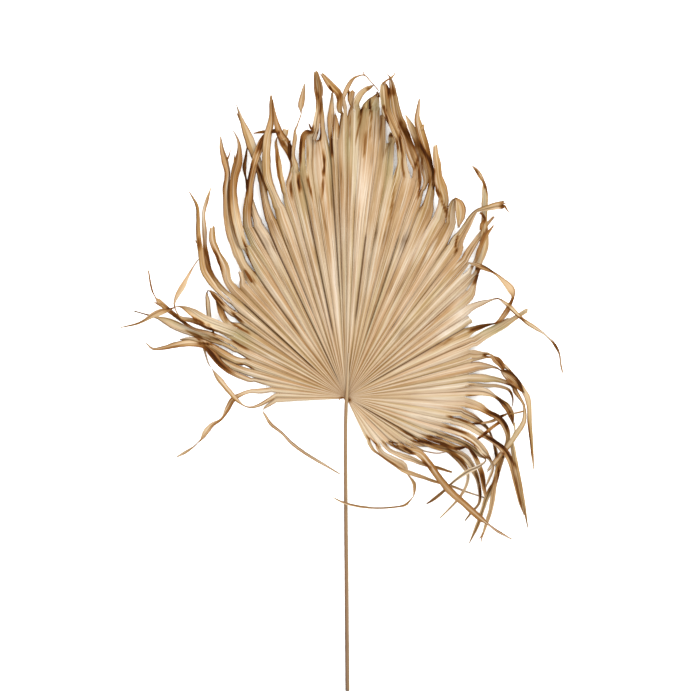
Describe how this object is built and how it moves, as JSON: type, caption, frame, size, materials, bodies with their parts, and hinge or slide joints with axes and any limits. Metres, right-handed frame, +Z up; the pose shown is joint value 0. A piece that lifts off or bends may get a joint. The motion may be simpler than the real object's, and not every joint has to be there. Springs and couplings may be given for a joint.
{
  "type": "dried palm frond",
  "caption": "Dried fan palm frond in straw and brown: a pleated fan on a long thin stalk, its rim split into fingers that curl, twist and fold back",
  "frame": {"origin": "On the surface, under the head of the stalk where all the pleats meet", "axes": "+Y runs from the head of the stalk to the tip of the fan, +X to the right seen from above, +Z up from the surface that the frond lies on"},
  "size_m": [0.6635, 0.9294, 0.0414],
  "materials": {
    "dry_leaf": "matte, fibrous dry leaf",
    "dry_stalk": "satin, dry and finely ribbed"
  },
  "bodies": {
    "root": {"blade": "dry_leaf", "petiole": "dry_stalk"}
  },
  "joints": []
}
